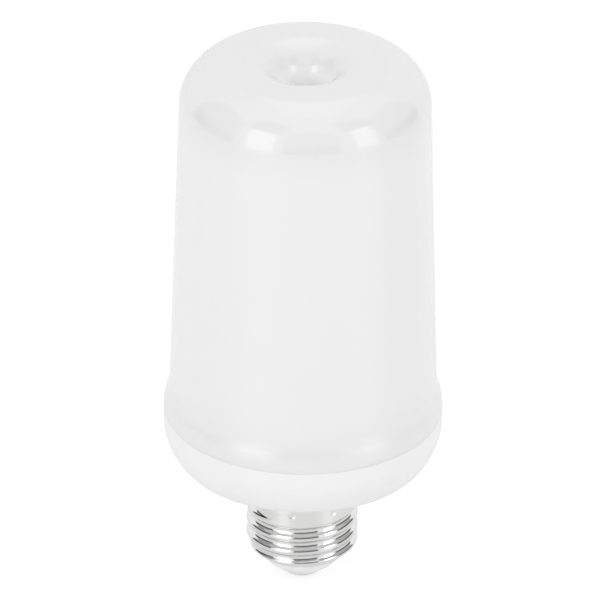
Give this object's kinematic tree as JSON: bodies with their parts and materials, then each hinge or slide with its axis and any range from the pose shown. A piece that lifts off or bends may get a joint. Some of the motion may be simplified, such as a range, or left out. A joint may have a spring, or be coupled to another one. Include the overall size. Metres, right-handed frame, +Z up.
{
  "type": "decorative led bulb",
  "caption": "Tall drum-shaped light bulb with a frosted cover dimpled at the top, a white bowl under it and a screw cap.",
  "frame": {"origin": "middle of the centre contact's flat underside, the lowest point of the bulb", "axes": "+Z up the bulb's axis from the screw cap to the cover's crown; -Y is the side seen in the picture"},
  "size_m": [0.0654, 0.0654, 0.1348],
  "materials": {
    "cover_frosted": "frosted milk-white moulding, glossy outside",
    "housing_white": "opaque white moulding, satin gloss",
    "cap_nickel": "bright nickel plate on rolled sheet",
    "insulator_grey": "smooth light grey moulding",
    "contact_metal": "bright tinned metal",
    "inner_white": "plain white moulding",
    "flex_white": "white solder mask on flexible board",
    "diode_amber": "amber phosphor in a white package",
    "board_green": "green solder mask on rigid board",
    "chip_black": "black moulding compound",
    "sleeve_dark": "dark shrink sleeve on a can",
    "ferrite": "sintered ferrite",
    "copper": "enamelled copper winding",
    "screw_steel": "zinc plated steel",
    "fuse_body": "blue-grey coated body",
    "resistor_body": "black glaze on ceramic",
    "sensor_can": "gold plated can",
    "lead_red": "red insulation",
    "lead_black": "black insulation",
    "lead_bare": "tinned bare lead"
  },
  "bodies": {
    "root": {"diffuser_cover": "cover_frosted", "base_housing": "housing_white", "screw_shell": "cap_nickel", "cap_insulator": "insulator_grey", "centre_contact": "contact_metal", "chassis_plate": "inner_white", "chassis_screws": "screw_steel", "drum_tube": "inner_white", "drum_cap": "inner_white", "led_board": "flex_white", "control_board": "board_green", "control_screws": "screw_steel", "control_chip": "chip_black", "tilt_sensor": "sensor_can", "driver_board": "board_green", "input_capacitor": "sleeve_dark", "choke": "ferrite", "choke_winding": "copper", "bridge_rectifier": "chip_black", "driver_chip": "chip_black", "fuse_resistor": "fuse_body", "chip_resistors": "resistor_body", "live_lead": "lead_red", "neutral_lead": "lead_bare", "positive_lead": "lead_red", "negative_lead": "lead_black", "drum_leads": "lead_bare", "led_row_01": "diode_amber", "led_row_02": "diode_amber", "led_row_03": "diode_amber", "led_row_04": "diode_amber", "led_row_05": "diode_amber", "led_row_06": "diode_amber", "led_row_07": "diode_amber", "led_row_08": "diode_amber", "led_row_09": "diode_amber", "led_row_10": "diode_amber", "led_row_11": "diode_amber"}
  },
  "joints": []
}
